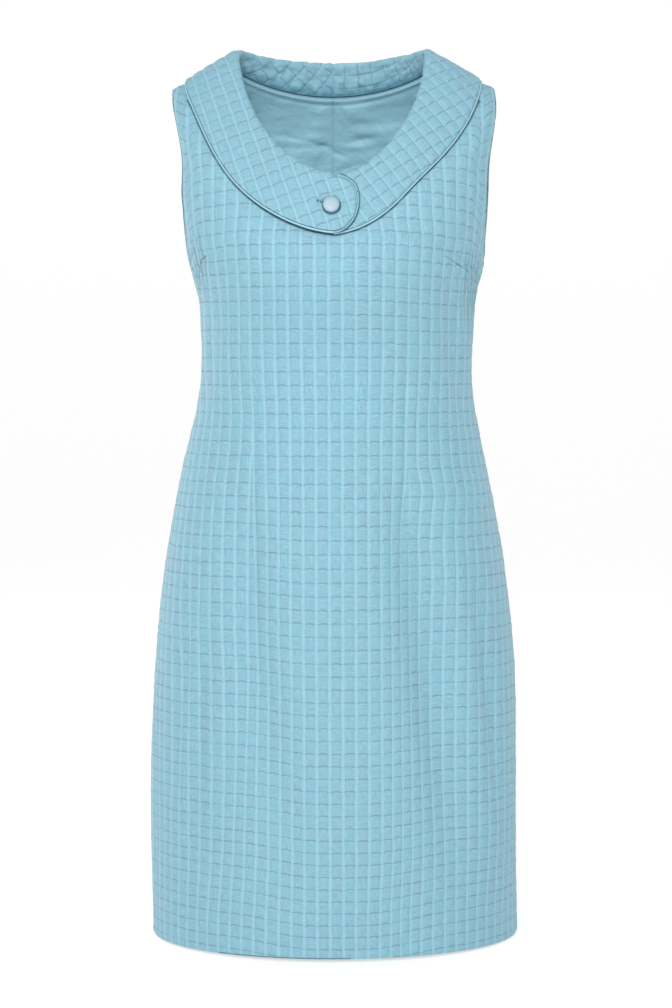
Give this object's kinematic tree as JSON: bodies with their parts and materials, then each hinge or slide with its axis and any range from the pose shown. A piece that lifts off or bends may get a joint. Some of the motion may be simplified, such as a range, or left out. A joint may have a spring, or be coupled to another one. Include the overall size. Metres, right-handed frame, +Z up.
{
  "type": "sheath dress",
  "caption": "Sleeveless knee-length sheath dress in light blue blister cloth, with a wide roll collar, a round buttoned tab and satin piping, filled out as if worn.",
  "frame": {"origin": "midway between the two high shoulder points of the dress, at the top of the collar's roll, where it is held when worn", "axes": "+Z up, along the dress from hem to shoulders; -Y the way the wearer faces; +X to the viewer's right as one faces the dress"},
  "size_m": [0.4, 0.262, 0.9581],
  "materials": {
    "blister_cloth": "light blue blister weave of small soft squares, slight sheen",
    "satin_trim": "light blue satin, smooth",
    "satin_lining": "dusty blue lining satin, smooth"
  },
  "bodies": {
    "root": {"front": "blister_cloth", "back_left": "blister_cloth", "back_right": "blister_cloth", "collar_left": "blister_cloth", "collar_right": "blister_cloth", "buttonhole_lip_upper": "blister_cloth", "buttonhole_lip_lower": "blister_cloth", "piping_left": "satin_trim", "piping_right": "satin_trim", "button": "satin_trim", "button_shank": "satin_trim", "lining_front": "satin_lining", "lining_back_left": "satin_lining", "lining_back_right": "satin_lining"}
  },
  "joints": []
}
